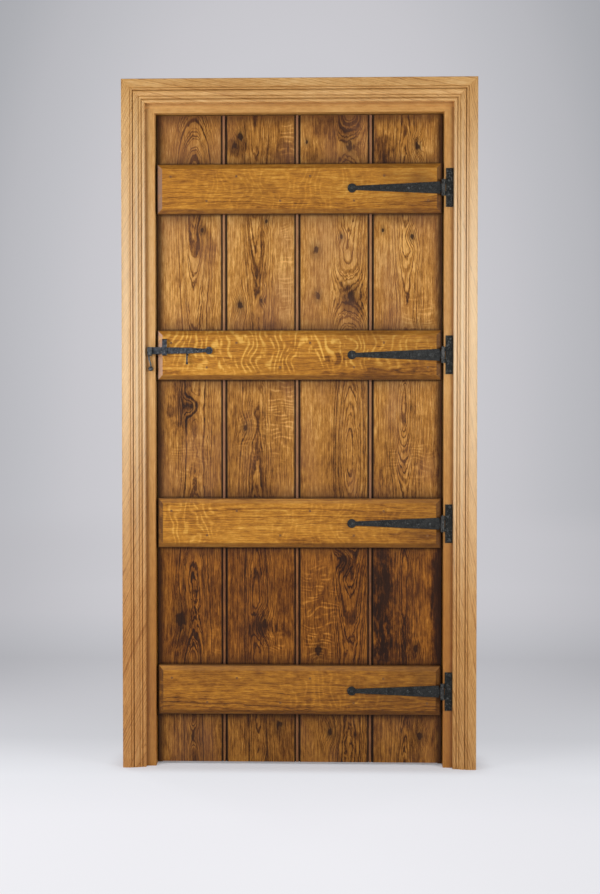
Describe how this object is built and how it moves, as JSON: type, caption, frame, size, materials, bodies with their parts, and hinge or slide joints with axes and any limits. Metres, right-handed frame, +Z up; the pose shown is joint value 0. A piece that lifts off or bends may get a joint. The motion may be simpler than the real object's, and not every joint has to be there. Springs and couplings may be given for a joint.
{
  "type": "ledged plank door with frame",
  "caption": "Square-headed oak plank door with bevelled ledges, T-hinges and a thumb latch, in an oak lining with moulded architrave.",
  "frame": {"origin": "on the floor, in the middle of the width and of the depth", "axes": "+X to the right of someone facing the ledged side, +Y away from them through the doorway, +Z up"},
  "size_m": [1.066, 0.139, 2.073],
  "materials": {
    "natural_oak": "clear satin oil on planed oak",
    "stained_oak": "dark rubbed stain under satin wax",
    "golden_oak": "golden brown stain under satin wax",
    "black_iron": "matt black over hammered iron",
    "forged_latch_iron": "waxed blue-black forge scale, hammered"
  },
  "bodies": {
    "frame": {"jamb_latch_side": "natural_oak", "jamb_hinge_side": "natural_oak", "head_lining": "natural_oak", "head_nails": "black_iron", "stop_latch_side": "natural_oak", "stop_hinge_side": "natural_oak", "stop_head": "natural_oak", "architrave_latch_side": "natural_oak", "architrave_hinge_side": "natural_oak", "architrave_head": "natural_oak", "hinge_flap_1": "black_iron", "hinge_flap_2": "black_iron", "hinge_flap_3": "black_iron", "hinge_flap_4": "black_iron", "hinge_pin_1": "black_iron", "hinge_pin_2": "black_iron", "hinge_pin_3": "black_iron", "hinge_pin_4": "black_iron", "flap_nails": "black_iron", "latch_keep": "forged_latch_iron"},
    "door_leaf": {"board_1": "stained_oak", "board_2": "stained_oak", "board_3": "stained_oak", "board_4": "stained_oak", "ledge_1": "golden_oak", "ledge_2": "golden_oak", "ledge_3": "golden_oak", "ledge_4": "golden_oak", "ledge_nails": "black_iron", "hinge_strap_1": "black_iron", "hinge_strap_2": "black_iron", "hinge_strap_3": "black_iron", "hinge_strap_4": "black_iron", "strap_nails": "black_iron", "latch_pivot_screw": "forged_latch_iron", "latch_staple": "forged_latch_iron", "handle_plate": "forged_latch_iron", "handle_grip": "forged_latch_iron", "handle_nails": "forged_latch_iron", "thumb_lever_pin": "forged_latch_iron"},
    "latch_bar": {"latch_bar": "forged_latch_iron"},
    "thumb_lever": {"thumb_lever": "forged_latch_iron"}
  },
  "joints": [
    {"name": "leaf_hinge", "type": "hinge", "parent": "frame", "child": "door_leaf", "pos_m": [0.432, -0.0517, 1.24], "axis": [0, 0, 1], "range_deg": [0, 160]},
    {"name": "bar_pivot", "type": "hinge", "parent": "door_leaf", "child": "latch_bar", "pos_m": [-0.2717, -0.0503, 1.2615], "axis": [0, 1, 0], "range_deg": [0, 8.5]},
    {"name": "lever_pivot", "type": "hinge", "parent": "door_leaf", "child": "thumb_lever", "pos_m": [-0.338, 0.0105, 1.24963], "axis": [-1, 0, 0], "range_deg": [0, 8.5]}
  ],
  "couplings": [
    {"joint": "bar_pivot", "follows": "lever_pivot", "ratio": 1}
  ]
}
